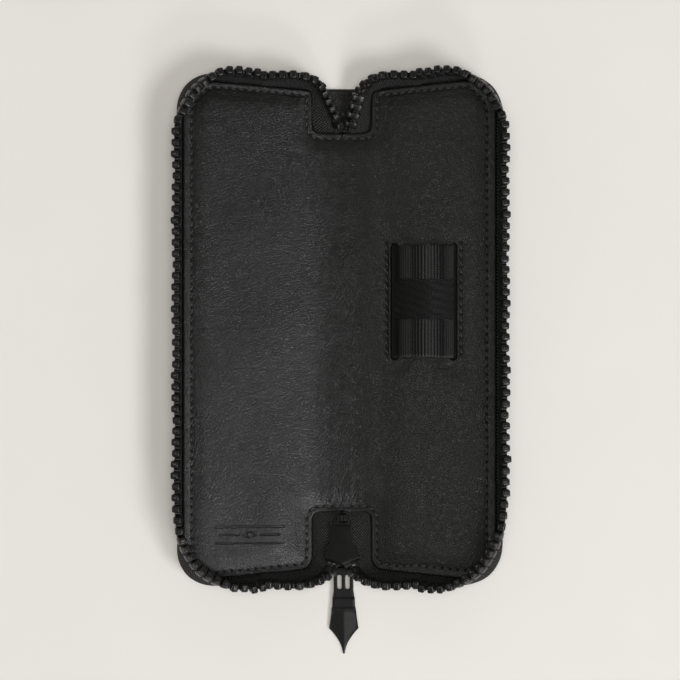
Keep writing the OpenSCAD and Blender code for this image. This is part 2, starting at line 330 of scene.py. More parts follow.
class Nodes:
    """Short calls for building a material's node tree."""

    def __init__(self, name):
        self.material = bpy.data.materials.new(name)
        self.material.use_nodes = True
        self.tree = self.material.node_tree
        self.shader = self.tree.nodes["Principled BSDF"]

    def fill(self, socket, value):
        if isinstance(value, bpy.types.NodeSocket):
            self.tree.links.new(value, socket)
        else:
            socket.default_value = value

    def add(self, kind, inputs, **settings):
        node = self.tree.nodes.new("ShaderNode" + kind)
        for key, value in settings.items():
            setattr(node, key, value)
        for key, value in inputs.items():
            self.fill(node.inputs[key], value)
        return node.outputs

    def place(self, uv=False, scale=(1, 1, 1)):
        """Coordinates in millimetres, times scale: from the sheet's own layout, or from the object."""
        if uv:
            source = self.add("UVMap", {}, uv_map="mm")["UV"]
        else:
            source = self.add("TexCoord", {})["Object"]
            scale = tuple(s / MM for s in scale)
        return self.add("Mapping", {"Vector": source, "Scale": scale})["Vector"]

    def noise(self, at, scale, detail=3.0, rough=0.5):
        inputs = {"Vector": at, "Scale": scale, "Detail": detail, "Roughness": rough}
        return self.add("TexNoise", inputs)["Fac"]

    def math(self, kind, a, b=0.0):
        return self.add("Math", {0: a, 1: b}, operation=kind)[0]

    def weighted(self, *pairs):
        """The sum of values, each times its weight."""
        total, *parts = [self.math("MULTIPLY", value, weight) for value, weight in pairs]
        for part in parts:
            total = self.math("ADD", total, part)
        return total

    def sine(self, *pairs):
        return self.math("SINE", self.weighted(*pairs))

    def range(self, value, low=0.0, high=1.0, start=0.0, stop=1.0):
        """A value that goes from start to stop, as a number from low to high."""
        return self.add("MapRange", {"Value": value, "From Min": start, "From Max": stop,
                                     "To Min": low, "To Max": high})["Result"]

    def mix(self, kind, share, under, over):
        return self.add("MixRGB", {"Fac": share, "Color1": under, "Color2": over}, blend_type=kind)["Color"]

    def ramp(self, value, tone, *stops):
        """A tone that is made darker or lighter along a value; each stop is the value and a factor."""
        node = self.tree.nodes.new("ShaderNodeValToRGB")
        self.fill(node.inputs["Fac"], value)
        marks = node.color_ramp.elements
        while len(marks) < len(stops):
            marks.new(0.5)
        for mark, (at, factor) in zip(marks, stops):
            mark.position = at
            mark.color = (*(factor * c for c in tone), 1)
        return node.outputs["Color"]

    def bump(self, height, depth, over=None):
        inputs = {"Height": height, "Distance": depth * MM}
        if over is not None:
            inputs["Normal"] = over
        return self.add("Bump", inputs)["Normal"]

    def finish(self, colour, roughness, normal=None, **values):
        values.update(Base_Color=colour, Roughness=roughness)
        if normal is not None:
            values["Normal"] = normal
        for key, value in values.items():
            self.fill(self.shader.inputs[key.replace("_", " ")], value)
        return self.material


def grey(v, warm=0.0):
    return (v * (1 + warm), v, v * (1 - warm))


def leather(name, tone, grain, depth, rough):
    """Fine-grained leather: closed pebbles, finer creases between them darkened with painted shade, and soft
    wear in tone.
    """
    n = Nodes(name)
    at = n.place(uv=True)
    wander = n.add("TexNoise", {"Vector": at, "Scale": 0.9})["Color"]
    pebble = n.add("TexVoronoi", {"Vector": n.mix("ADD", 0.12, at, wander), "Scale": 1 / grain,
                                  "Randomness": 1.0}, feature="DISTANCE_TO_EDGE")["Distance"]
    pebble = n.range(pebble, stop=0.22)
    fine = n.noise(at, 3.2 / grain, 4.0, 0.6)
    broad = n.noise(at, 0.09, 3.0, 0.55)
    normal = None
    for height, share in ((fine, 0.55), (pebble, 1.0), (n.noise(at, 0.35, 2.0), 2.2)):
        normal = n.bump(height, depth * share, over=normal)
    patches = n.ramp(broad, grey(tone, 0.02), (0.3, 0.86), (0.7, 1.14))
    # Painted shade: the colour darkens towards the creases between the pebbles.
    crease_shade = n.ramp(pebble, grey(1.0), (0.0, 0.62), (0.5, 1.0))
    roughness = n.range(n.weighted((fine, 0.5), (broad, 0.5)), rough - 0.1, rough + 0.12)
    return n.finish(n.mix("MULTIPLY", 1.0, patches, crease_shade), roughness, normal, Specular_IOR_Level=0.37)


def woven_tape(name, tone, thread):
    """Close plain weave: over and under threads both ways, slightly fuzzy; painted shade darkens the colour
    where threads dip and lightens it where they rise.
    """
    n = Nodes(name)
    at = n.place(uv=True)
    ways = n.add("SeparateXYZ", {"Vector": at})
    drift = n.noise(at, 0.8, 2.0)
    weave = n.math("MULTIPLY", *[n.sine((ways[axis], 2 * math.pi / thread), (drift, 2.5)) for axis in "XY"])
    fuzz = n.noise(at, 2.4, 3.0, 0.75)
    # Painted shade: the colour is darker where the threads dip under and lighter where they rise, with random
    # fuzz in tone.
    colour = n.ramp(n.weighted((weave, 0.22), (fuzz, 1.0)), grey(tone), (0.4, 0.1), (0.52, 0.8), (0.68, 4.2))
    return n.finish(colour, 0.75, n.bump(n.weighted((weave, 0.5), (fuzz, 1.6)), 0.3),
                    Sheen_Weight=0.03, Sheen_Roughness=0.4, Specular_IOR_Level=0.22)


def elastic(name, tone, rib, middle, block):
    """Ribbed elastic: round cords side by side, a plain twill block across the middle, crossing threads. Its
    colour follows the relief, darker in the grooves and lighter on the cords and the block, as painted shade,
    and is lighter along the bottom edge as a painted highlight.
    """
    n = Nodes(name)
    at = n.place(uv=True)
    ways = n.add("SeparateXYZ", {"Vector": at})
    x, y = ways["X"], ways["Y"]
    cords = n.math("ABSOLUTE", n.sine((x, math.pi / rib)))
    twill = n.sine((x, 2 * math.pi / 0.95), (y, 2 * math.pi / 0.8))
    picks = n.sine((y, 2 * math.pi / 0.55))
    fuzz = n.noise(at, 6.0, 3.0, 0.7)
    from_middle = n.math("ABSOLUTE", n.math("SUBTRACT", y, middle))
    in_block = n.range(from_middle, 1.0, 0.0, block - 0.3, block + 0.3)
    plain = n.math("MULTIPLY", n.math("ADD", n.math("MULTIPLY", twill, 0.35), 0.42), in_block)
    ribbed = n.math("MULTIPLY", cords, n.math("SUBTRACT", 1.0, in_block))
    height = n.weighted((plain, 1.0), (ribbed, 1.0), (n.math("MULTIPLY", picks, fuzz), 0.15))
    # Painted highlight: the colour is lightened along the band's bottom edge, where the light catches it.
    selvedge = n.range(y, 0.35, 0.0, 0.3, 0.9)
    # The colour follows the height: painted shade darkens the grooves between the cords and lightens their
    # tops.
    colour = n.ramp(n.weighted((height, 0.55), (fuzz, 0.5), (selvedge, 1.0)), grey(tone),
                    (0.35, 0.1), (0.8, 1.6), (1.0, 3.0))
    return n.finish(colour, 0.5, n.bump(height, 0.26),
                    Sheen_Weight=0.04, Sheen_Roughness=0.4, Specular_IOR_Level=0.25)


def moulded(name, tone, rough):
    """Moulded hard part: faint orange peel, small scuffs on the gloss."""
    n = Nodes(name)
    at = n.place()
    scuff = n.noise(at, 0.7, 4.0, 0.65)
    colour = n.ramp(scuff, grey(tone), (0.35, 0.8), (0.75, 1.25))
    return n.finish(colour, n.range(scuff, rough - 0.08, rough + 0.14),
                    n.bump(n.noise(at, 2.5, 3.0, 0.6), 0.035), Specular_IOR_Level=0.4)


def coated_metal(name, tone, rough):
    """Black coated metal: fine brushed haze, a little wear in the tone, and a lighter colour on sharp edges,
    which is a painted highlight and also stands for worn coating.
    """
    n = Nodes(name)
    haze = n.noise(n.place(scale=(6, 0.6, 6)), 1.2, 3.0, 0.6)
    coat = n.ramp(n.noise(n.place(), 0.5, 4.0, 0.7), grey(tone), (0.35, 0.85), (0.8, 1.3))
    # Painted highlight: sharp edges are mixed towards a lighter grey, which also stands for worn coating.
    edge = n.range(n.add("NewGeometry", {})["Pointiness"], 0.0, 0.8, 0.53, 0.62)
    return n.finish(n.mix("MIX", edge, coat, (*grey(0.11), 1)), n.range(haze, rough - 0.07, rough + 0.1),
                    n.bump(haze, 0.01), Metallic=0.4, Specular_IOR_Level=0.28)


def twisted_thread(name, tone):
    """Thread, with the slanting plies of its twist, its colour darkened between the plies as painted shade.
    """
    n = Nodes(name)
    ply = n.add("TexWave", {"Vector": n.place(), "Scale": 1.1, "Distortion": 1.0, "Detail": 1.0},
                wave_type="BANDS", bands_direction="DIAGONAL")["Fac"]
    # Painted shade: the colour darkens in the grooves between the plies.
    return n.finish(n.ramp(ply, grey(tone), (0.2, 0.6), (0.8, 1.4)), 0.4, n.bump(ply, 0.05),
                    Sheen_Weight=0.1, Specular_IOR_Level=0.6)


def plain_sheet(name, tone, rough):
    """Board or foam between the leathers: speckled and matt."""
    n = Nodes(name)
    speck = n.noise(n.place(), 2.0, 4.0, 0.7)
    return n.finish(n.ramp(speck, grey(tone, 0.04), (0.3, 0.8), (0.7, 1.2)), rough, n.bump(speck, 0.05))


LINING = leather("lining_leather", 0.0055, 0.65, 0.034, 0.295)
COVER = leather("cover_leather", 0.013, 1.1, 0.09, 0.5)
TAPE = woven_tape("zip_tape", 0.018, 0.95)
TEETH = moulded("zip_teeth", 0.0095, 0.28)
METAL = coated_metal("black_metal", 0.0072, 0.3)
PULLER_METAL = coated_metal("puller_metal", 0.0122, 0.34)
THREAD = twisted_thread("thread", 0.022)
# Near-black for the needle holes: painted shade in the pits.
HOLE_SHADE = plain_sheet("needle_hole_shade", 0.003, 0.9)
BOARD = plain_sheet("stiffener", 0.02, 0.8)
FOAM = plain_sheet("foam", 0.012, 0.9)


# ---------------- how the leathers bend

# How the lining turns up from the spine: slope in degrees, where the turn starts, its length
TURNS = {"left": [(13.0, 0.5, 12.5), (-3.1, 14.0, 12.0)],
         "right": [(20.0, 2.0, 14.0), (-4.6, 16.0, 14.0), (-4.5, 32.0, 12.0)]}
BEND_STEP = 0.1
BEND_U = np.arange(0, 60, BEND_STEP)
COVER_TURN = 5.0


def bend_curve(slope, height):
    """The curve that a sheet follows, from its slope at each BEND_U: across, height and slope."""
    x, z = (np.concatenate([[0], np.cumsum(f(slope[:-1]) * BEND_STEP)]) for f in (np.cos, np.sin))
    return x, height + z, slope


BENDS = {side: bend_curve(sum(np.radians(a) * smooth((BEND_U - start) / span) for a, start, span in turns),
                          STACK_T) for side, turns in TURNS.items()}
COVER_BENDS = {side: bend_curve(tilt * smooth((BEND_U - FOLD_X) / COVER_TURN + 0.5), 0.0)
               for side, tilt in TILT.items()}


def bent(side, u, v, h, bends=BENDS):
    """A point of a leather: u across, v along the spine, h above the lining's face or the cover's outside."""
    x, z, slope = (np.interp(u, BEND_U, c) for c in bends[side])
    return stacked(SIGN[side] * (x - h * np.sin(slope)), v, z + h * np.cos(slope))


def bent_normal(side, u):
    slope = np.interp(u, BEND_U, BENDS[side][2])
    return stacked(-SIGN[side] * np.sin(slope), 0, np.cos(slope))


def leather_half(side, kind, mesh, heights, bends, material, blend, outline):
    """Half of a leather, from the spine's middle to a leaf's edge; heights are those of its two faces."""
    verts, tris = mesh
    points = np.concatenate([bent(side, *verts.T, h, bends) for h in heights])
    piece = new_piece(f"{side}_{kind}_leather", points, slab_faces(tris, len(verts)), material,
                      uv=np.concatenate([verts, verts]), sharp=50, flip=side == "left")
    settle(piece, kind + "_leather")
    blend_over_fold(piece, side, *blend)
    return piece


def free_distance(points, outline, holes=()):
    """Distance from a half's real edges; its line on the spine's middle, where the halves meet, is none."""
    whole = np.concatenate([outline, outline[::-1] * [-1, 1]])
    return edge_distance(points, [whole, *holes])


# ---------------- lining

EDGE_U = {"left": FOLD_X + LINING_W, "right": FOLD_X + LINING_W - 0.9}
LINING_END = SPINE_HALF - 0.4
LINING_BLEND = ((4.5, 0), (17.5, 0))
NOTCH_R = 2.3
MOUTH_R = {1: 2.0, -1: 4.2}
LOOP_LOW, LOOP_HIGH = low_corner("pen_loop")[1], corner("pen_loop")[1]
LOOP_U = FOLD_X + 15.4
LOOP_HALF = 9.0
# From the loop's middle, on each side of it: its slits and the seams beside them
SLIT_AT = {-1: -9.55, 1: 9.7}
LOOP_SEAM_AT = {-1: -11.95, 1: 12.2}
SLIT_HALF = 1.0
STITCH_IN = 1.9
# How much farther in the seam runs along a leaf's long side, and along its bottom end
SEAM_EXTRA = {"left": (0.9, 0.0), "right": (1.1, 0.9)}
MOTIF_U, MOTIF_V = 29.5, -64.6


def lining_outline(side):
    """Half of the lining, laid flat: the spine's middle is u = 0."""

    def end(notch, way):
        """One end, from the spine's middle to the outer corner's start; way is 1 at the top."""
        m, r = MOUTH_R[way], NOTCH_R
        inner = arc(NOTCH_HALF - r, notch + way * r, r, -90 * way, 0, 8)
        mouth = arc(NOTCH_HALF + m, way * (LINING_END - m), m, 180, 180 - 90 * way, 6)
        return np.concatenate([[[0, notch], [NOTCH_HALF - r, notch]], inner, mouth])

    u, v = EDGE_U[side] - LINING_R, LINING_HALF - LINING_R
    return np.concatenate([end(NOTCH_BOTTOM, -1), arc(u, -v, LINING_R, -90, 0, 14),
                           arc(u, v, LINING_R, 0, 90, 14), end(NOTCH_TOP, 1)[::-1]])


def wrinkles(u, v):
    """Soft ridges that run into the leather from both notches, where the fold pulls it."""
    h = 0 * u
    for notch, way, reach in ((NOTCH_TOP, -1, 9.0), (NOTCH_BOTTOM, 1, 12.0)):
        inward = (v - notch) * way
        fade = smooth((inward - 1.8) / 2.5) * np.exp(-np.maximum(inward, 0) / reach)
        for k, at in enumerate((0.8, 3.1, 5.6, 8.3)):
            drift = at + 0.05 * inward * (k - 1.5) + 0.3 * np.sin(inward * 0.35 + k)
            h += (0.17 - 0.03 * k) * fade * np.exp(-((u - drift) / 0.75) ** 2)
    return h * smooth(u / 1.6)


def waves(side, u, v):
    """The leather's slow unevenness over the foam."""
    phase, swell = (0.0, 0.55) if side == "left" else (1.7, 0.15)
    slow = 0.10 * np.sin(v * 0.06 + phase) * np.sin(u * 0.13 + phase * 2)
    quick = 0.05 * np.sin(v * 0.17 + u * 0.09 + phase)
    return (slow + quick) * smooth(u / 10) + swell * np.exp(-((u - 21) / 9) ** 2 - ((v + 58) / 14) ** 2)


def motif(u, v):
    """A plain ornament pressed into the left lining: two fine rules with a lozenge between them."""
    across, along = np.abs(u - MOTIF_U), np.abs(v - MOTIF_V)
    rules = (np.abs(along - 2.6) < 0.28) & (across < 11)
    lozenge = np.abs(across / 2.2 + along / 1.3 - 0.8) < 0.2
    side_marks = (along < 0.25) & (np.abs(across - 6.4) < 3.2)
    return (rules | lozenge | side_marks).astype(float)


def past_slit(side, u, v):
    """1 just beyond the slits' ends, where no groove is pressed, and 0 elsewhere."""
    beyond = np.maximum(v - LOOP_HIGH, LOOP_LOW - v)
    return (side == "right") * (np.abs(u - LOOP_U) < 14) * (beyond > 0.4) * (beyond < 4)


def lip(u, v):
    """The leather's edge, turned up beside the left slit by the elastic's pull."""
    reach = smooth((LOOP_HIGH + 0.8 - v) / 1.5) * smooth((v - LOOP_LOW + 0.8) / 1.5)
    return 0.2 * reach * np.exp(-((u - (LOOP_U + SLIT_AT[-1] - SLIT_HALF - 0.6)) / 0.42) ** 2)


def seam_extra(side, u, v):
    along, bottom = SEAM_EXTRA[side]
    far = along * smooth((u - (EDGE_U[side] - 9)) / 5)
    return np.maximum(far, bottom * smooth((u - 18) / 6) * smooth((-v - 62) / 8))


def lining_half(side):
    outline = lining_outline(side)
    holes, extra = [], None
    if side == "right":
        holes = [round_box(LOOP_U + at - SLIT_HALF, LOOP_LOW - 0.5, LOOP_U + at + SLIT_HALF, LOOP_HIGH + 0.5,
                           SLIT_HALF - 0.15) for at in SLIT_AT.values()]
    else:
        extra = np.array([[MOTIF_U + a, MOTIF_V + b] for a in np.arange(-12.5, 12.5, 0.22)
                          for b in np.arange(-4, 4, 0.22)])
    mesh = flat_mesh(outline, 0.9, (0.12, 0.35, 0.8, 1.5, 2.0, 2.5, 3.0, 3.6), holes, extra)
    u, v = mesh[0].T
    edge = free_distance(mesh[0], outline, holes)
    from_seam = edge - STITCH_IN - seam_extra(side, u, v)
    groove = 0.16 * np.exp(-(from_seam / 0.45) ** 2) * (1 - past_slit(side, u, v))
    top = 0.30 * smooth(from_seam / 5.0) - rounded(edge, 0.45) - groove
    top = top + wrinkles(u, v) + waves(side, u, v) * smooth((edge - 2) / 8)
    top = top - 0.3 * motif(u, v) if side == "left" else top + lip(u, v)
    return leather_half(side, "lining", mesh, (top, rounded(edge, 0.25) - LINING_T), BENDS, LINING,
                        LINING_BLEND, outline)


linings = {side: lining_half(side) for side in SIGN}
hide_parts("left_lining", "spine_lining")
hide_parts("right_lining")

# ---------------- cover, in two halves

COVER_STITCH_IN = 2.6
COVER_BLEND = ((FOLD_X - COVER_TURN / 2, 0), (FOLD_X + COVER_TURN / 2, 0))
HEM_HALF = 10.2


def cover_outline():
    at_u, at_v = FOLD_X + LEAF_W - COVER_R, LEAF_HALF - COVER_R
    return np.concatenate([[[0, -SPINE_HALF], [FOLD_X, -SPINE_HALF]],
                           arc(at_u, -at_v, COVER_R, -90, 0, 16), arc(at_u, at_v, COVER_R, 0, 90, 16),
                           [[FOLD_X, SPINE_HALF], [0, SPINE_HALF]]])


def cover_half(side):
    mesh = flat_mesh(cover_outline(), 1.5, (0.15, 0.5, 1.0, 2.0, 2.6))
    u, v = mesh[0].T
    edge = free_distance(mesh[0], cover_outline())
    outside = rounded(edge, 0.6) + 0.14 * np.exp(-((edge - COVER_STITCH_IN) / 0.5) ** 2)
    outside = outside - 0.05 * np.sin(v * 0.11) * np.sin(u * 0.16) * smooth(edge / 6) * smooth((u - 12) / 8)
    outside = np.where(u > FOLD_X + 6, outside, np.maximum(outside, 0))
    return leather_half(side, "cover", mesh, (COVER_T - rounded(edge, 0.3), outside), COVER_BENDS, COVER,
                        COVER_BLEND, cover_outline())


def hem(end, way):
    """The cover's turned and glued edge, where the notch shows it."""
    section = [(0, 0.5), (0, 1.1), (0.25, 1.42), (1.3, 1.46), (1.75, 1.32), (1.9, 1.05), (1.9, 0.9),
               (0.5, 0.5)]
    outer = SPINE_HALF - 0.1
    verts, faces = loft([np.array([(x, way * (outer - d - 0.05 * math.sin(x * 0.9)), z) for d, z in section])
                         for x in np.linspace(-HEM_HALF, HEM_HALF, 35)])
    lay = stacked(verts[:, 0], np.abs(verts[:, 1]) + verts[:, 2])
    piece = new_piece(end + "_hem", verts, faces, COVER, uv=lay, sharp=50, flip=way < 0)
    settle(piece, "cover_leather", "spine")


hem("top", 1)
hem("bottom", -1)
covers = {side: cover_half(side) for side in SIGN}
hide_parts("left_cover", "spine_cover")
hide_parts("right_cover")

# ---------------- sheets laid out as grids


def grid_sheet(name, grid, thick, material, sharp=60):
    """A closed sheet from points on its middle surface, as grid[i, j]; thick is one value or one per j."""
    n, m = grid.shape[:2]
    half = n * m
    normals = unit(np.cross(np.gradient(grid, axis=0), np.gradient(grid, axis=1)))
    thick = np.reshape(np.broadcast_to(thick, m), (1, m, 1))
    points = np.concatenate([(grid + turn * normals * thick / 2).reshape(-1, 3) for turn in (1, -1)])
    faces = []
    for i in range(n - 1):
        for j in range(m - 1):
            a, b, c, d = i * m + j, (i + 1) * m + j, (i + 1) * m + j + 1, i * m + j + 1
            faces += [(a, b, c, d), (d + half, c + half, b + half, a + half)]
    rim = [i * m for i in range(n)] + [(n - 1) * m + j for j in range(1, m)]
    rim += [i * m + m - 1 for i in range(n - 2, -1, -1)] + list(range(m - 2, 0, -1))
    faces += [(b, a, a + half, b + half) for a, b in zip(rim, rim[1:] + rim[:1])]
    up = lengths(grid.mean(0))
    if up[-1] < 1:
        up = lengths(grid[n // 2])
    lay = stacked(*np.meshgrid(lengths(grid.mean(1)), up, indexing="ij")).reshape(-1, 2)
    return new_piece(name, points, faces, material, uv=np.concatenate([lay, lay]), sharp=sharp)


def through(points, n):
    """A smooth curve through points, with n points at even distances."""
    p = np.asarray(points, float)
    p = np.concatenate([[2 * p[0] - p[1]], p, [2 * p[-1] - p[-2]]])
    t = np.linspace(0, 1, 24, endpoint=False)[:, None]
    fine = [0.5 * (2 * b + (c - a) * t + (2 * a - 5 * b + 4 * c - d) * t ** 2
                   + (3 * b - a - 3 * c + d) * t ** 3) for a, b, c, d in zip(p, p[1:], p[2:], p[3:])]
    fine = np.concatenate([*fine, p[-2:-1]])
    s = lengths(fine)
    return along_line(np.linspace(0, s[-1], n), s, fine)


# ---------------- zip: the standing wall

# The tape's rows, from its sewn flange to the chain, and its thickness at each, with the cord at its edge
WALL_UP = np.array([0, 0.02, 0.12, 0.26, 0.4, 0.54, 0.68, 0.8, 0.87, 0.93, 1.0])
TAPE_T, CORD_T = 0.55, 2.0
THICK = np.where(WALL_UP > 0.85, CORD_T, TAPE_T) - 0.5 * (WALL_UP > 0.98) * (CORD_T - TAPE_T)
CORD_OUT = 1.3
FLANGE = 2.0
WALL_START = 15.0
TOOTH_SUNK = 0.9
# Steps along the rim: at each spine end, round each corner, down the long side
END_STEPS, TURN_STEPS, SIDE_STEPS = 14, 22, 90
WIDTH_ROW = 100


def rim(y_start, out, half, bottom, top):
    """A leaf's rim from end to end; bottom and top are its corners' (across, along) radii."""
    t = np.linspace(0, 1, END_STEPS + 1)
    a = np.radians(np.linspace(90, 0, TURN_STEPS + 1))[1:]
    ends = []
    for way, (rx, ry) in ((-1, bottom), (1, top)):
        end = stacked(WALL_START + (out - rx - WALL_START) * t,
                      way * (y_start + (half - y_start) * np.sin(t * math.pi / 2)))
        turn = stacked(out - rx + rx * np.cos(a), way * (half - ry + ry * np.sin(a)))
        ends.append(np.concatenate([end, turn]))
    s = np.linspace(bottom[1] - half, half - top[1], SIDE_STEPS + 1)[1:-1]
    return np.concatenate([ends[0], stacked(out, s), ends[1][::-1]])


def wall_grid(side):
    """The standing tape in the leaf's frame, from its sewn flange to the chain."""
    foot_r = (COVER_R - 1.2, COVER_R - 1.2)
    foot = rim(SPINE_HALF + 0.7, LEAF_W - 0.8, LEAF_HALF - 0.6, foot_r, foot_r)
    tip = rim(TIP_HALF - 0.9, TIP_OUT[side], TIP_HALF, *TIP_R[side])
    outward = -left_of(tangents(tip))
    bow = np.sin(np.linspace(0, math.pi, TURN_STEPS + 1))
    corners = np.concatenate([[0] * END_STEPS, bow, [0] * (SIDE_STEPS - 1), bow, [0] * END_STEPS])
    k = np.arange(len(foot))
    tip = tip + outward * (0.14 * np.sin(k * 0.31) + 0.1 * np.sin(k * 0.83 + 1))[:, None]
    low, high = COVER_IN_Z + 0.35, TOOTH_FOOT + TOOTH_SUNK
    grid = np.zeros((len(foot), len(WALL_UP), 3))
    for j, t in enumerate(WALL_UP):
        # A belly that is fullest a third of the way up, fuller round the corners
        belly = (0.5 + CORNER_BELLY[side] * corners) * 6.75 * t * (1 - t) ** 2
        grid[:, j, :2] = foot + (tip - foot) * t ** FLARE + outward * belly[:, None]
        grid[:, j, 2] = low + (high - low) * t
    grid[:, 0, :2] += left_of(tangents(foot)) * FLANGE
    grid[:, 0, 2] -= 0.05
    return grid


def tape_sheet(name, grid, ups, inward):
    """The tape; its edge goes on past the teeth's feet, where its cord fills the gaps between them."""
    grid, thick = grid.copy(), THICK
    for row, share in ((-1, 1.0), (-2, 0.6), (-3, 0.2)):
        grid[:, row] += ups * CORD_OUT * share
    if inward:
        grid, thick = grid[:, ::-1], thick[::-1]
    return grid_sheet(name, grid, thick, TAPE)


def tooth_shape():
    """One moulded tooth on its edge of tape: x along the chain, y across it, z out to the other chain."""
    layers = [(-0.25, 0.8, 1.0), (0.0, 1.14, 1.18), (0.3, 1.28, 1.32), (1.7, 1.3, 1.34), (2.1, 1.2, 1.28),
              (2.35, 1.0, 1.2), (2.5, 0.86, 1.12), (2.75, 0.84, 1.12), (2.95, 1.04, 1.24),
              (3.6, 1.08, 1.27), (3.86, 0.96, 1.14), (4.0, 0.7, 0.9), (4.02, 0.5, 0.7), (3.8, 0.3, 0.5)]
    c, s = (np.sign(a) * np.abs(a) ** 0.45 for a in circle(20))
    return loft([stacked(x * c, y * s, z) for z, x, y in layers])


TOOTH = tooth_shape()


def placed(shape, at, along, up):
    """A small shape at a point, its x along a direction and its z nearest to up."""
    up = unit(up - along * (up @ along))
    return at + shape[0] @ np.stack([along, np.cross(up, along), up]), shape[1]


def teeth_along(name, line, ups, first, straight=0.0):
    """Teeth along a line of points, in step from the first one's place and closer where the chain is bent."""
    s, tangent = lengths(line), tangents(line)
    at, teeth = first, []
    while at < s[-1] - 0.3:
        point, along, up = (along_line(at, s, c) for c in (line, tangent, ups))
        teeth.append(placed(TOOTH, point, unit(along), up))
        at += PITCH if abs(point[1]) < straight else END_PITCH
    return new_piece(name, *joined(teeth), TEETH), at - s[-1]


def tape_facts(teeth, side, along):
    """Measures a piece's length of tape, and the tape's width on the long side's wall; the numbers are not
    kept.
    """
    wide = lengths(walls[side][0][WIDTH_ROW])[-1]
    lengths(along)[-1] * MM


def zip_wall(side):
    grid = leaf_to_row(side, wall_grid(side))
    ups = unit(grid[:, -1] - grid[:, -3])
    start = END_PITCH * (0.5 if side == "left" else 1.0)
    tape = tape_sheet(side + "_wall_tape", grid, ups, side == "left")
    teeth, over = teeth_along(side + "_wall_teeth", grid[:, -1] - ups * TOOTH_SUNK, ups, start,
                              LEAF_HALF - TIP_R[side][1][1] + 4)
    settle(tape, "zip_tape", side + "_leaf", side + "_tape")
    settle(teeth, "zip_teeth", side + "_leaf", side + "_teeth")
    walls[side] = grid, start, over
    tape_facts(teeth, side, grid[:, 0])


walls = {}
for side in SIGN:
    zip_wall(side)

# ---------------- zip: from the wall into the notches

# Points of the chain and of the tape's sewn foot, from the wall to under the lining's notch edge:
# distance from the spine's middle, distance along the spine, height
CHAIN = {
    ("left", "top"): [
        (14.8, 79.6, 13.9), (9.6, 78.5, 12.0), (6.9, 76.4, 9.8), (5.0, 73.0, 7.6), (3.4, 69.6, 5.8),
        (2.2, 66.7, 4.5), (1.7, 64.4, 3.2), (2.1, 62.6, 1.8), (2.6, 60.4, 1.2)],
    ("right", "top"): [
        (14.8, 79.6, 13.9), (9.9, 78.5, 12.0), (7.5, 76.2, 9.4), (6.1, 73.0, 7.2), (5.2, 69.6, 5.9),
        (4.3, 66.6, 4.6), (3.7, 64.4, 3.2), (3.6, 62.6, 1.8), (3.6, 60.4, 1.2)]}
FOOT = {
    ("left", "top"): [
        (16.5, 76.6, 2.9), (12.0, 75.9, 2.1), (9.9, 74.8, 1.8), (9.6, 71.0, 1.7), (9.3, 66.0, 1.7),
        (8.4, 62.8, 1.7), (8.0, 60.4, 1.7)],
    ("right", "top"): [
        (16.5, 76.6, 2.9), (12.0, 75.9, 2.1), (9.7, 74.8, 1.8), (9.0, 71.0, 1.7), (8.6, 66.0, 1.7),
        (8.2, 62.8, 1.7), (8.0, 60.4, 1.7)]}
for side in SIGN:
    CHAIN[side, "bottom"] = [
        (14.8, 80.0, 13.9), (9.4, 79.2, 12.0), (6.4, 77.8, 9.6), (4.4, 75.6, 7.2), (3.2, 71.5, 6.1),
        (2.3, 66.0, 6.1), (1.9, 60.8, 5.0), (1.6, 58.8, 3.2), (1.5, 57.6, 1.8), (1.5, 55.4, 1.2)]
    FOOT[side, "bottom"] = [
        (16.5, 76.7, 2.9), (12.0, 76.0, 2.1), (9.9, 74.8, 1.8), (9.6, 71.0, 1.7), (9.4, 64.0, 1.7),
        (8.8, 58.6, 1.7), (8.4, 55.6, 1.7)]
LAST_TOOTH = {"top": 63.2, "bottom": 60.2}
RUN_STEPS = 46
# Where a run would start and stop following its leaf, across and along the spine; nothing uses them to bend
# it
RUN_BLEND = ((4, 68), (15, 79))


def zip_run(side, end):
    """The tape and teeth that leave the wall at one end of a leaf and go down into the notch."""
    way, k = (1, -1) if end == "top" else (-1, 0)
    grid, start, over = walls[side]
    out = np.array([SIGN[side], way, 1])
    tops, feet = (through(np.concatenate([[grid[k, row]], np.array(route[side, end]) * out]), RUN_STEPS)
                  for row, route in ((-1, CHAIN), (0, FOOT)))
    # Between its edges the tape stands as in the wall at first, and then lies down in the notch
    standing = (tops + feet) / 2 + 2 * (grid[k, 4] - (grid[k, -1] + grid[k, 0]) / 2)
    share, height = (0.97, tops[:, 2:] * 0.3 + feet[:, 2:] * 0.7) if (side, end) == ("left", "top") else (
        0.45, tops[:, 2:] + 0.5)
    lying = np.concatenate([tops[:, :2] * share + feet[:, :2] * (1 - share), height], axis=1)
    flat = smooth((np.linspace(0, 1, RUN_STEPS) - 0.25) / 0.4)[:, None]
    control = standing * (1 - flat) + lying * flat
    r = WALL_UP[None, :, None]
    sheet = feet[:, None] * (1 - r) ** 2 + control[:, None] * 2 * r * (1 - r) + tops[:, None] * r ** 2
    ups = unit(sheet[:, -1] - sheet[:, -3])
    tape = tape_sheet(f"{side}_{end}_run_tape", sheet, ups, (side == "left") == (end == "top"))
    line = sheet[:, -1] - ups * TOOTH_SUNK
    kept = np.cumprod(np.abs(line[:, 1]) > LAST_TOOTH[end]).astype(bool)
    teeth, _ = teeth_along(f"{side}_{end}_run_teeth", line[kept], ups[kept],
                           over if end == "top" else END_PITCH - start)
    for piece, slot in ((tape, "zip_tape"), (teeth, "zip_teeth")):
        settle(piece, slot)
        blend_over_fold(piece, side, *[(x, way * y) for x, y in RUN_BLEND])
    tape_facts(teeth, side, sheet[:, len(WALL_UP) // 2])
    return tape, teeth


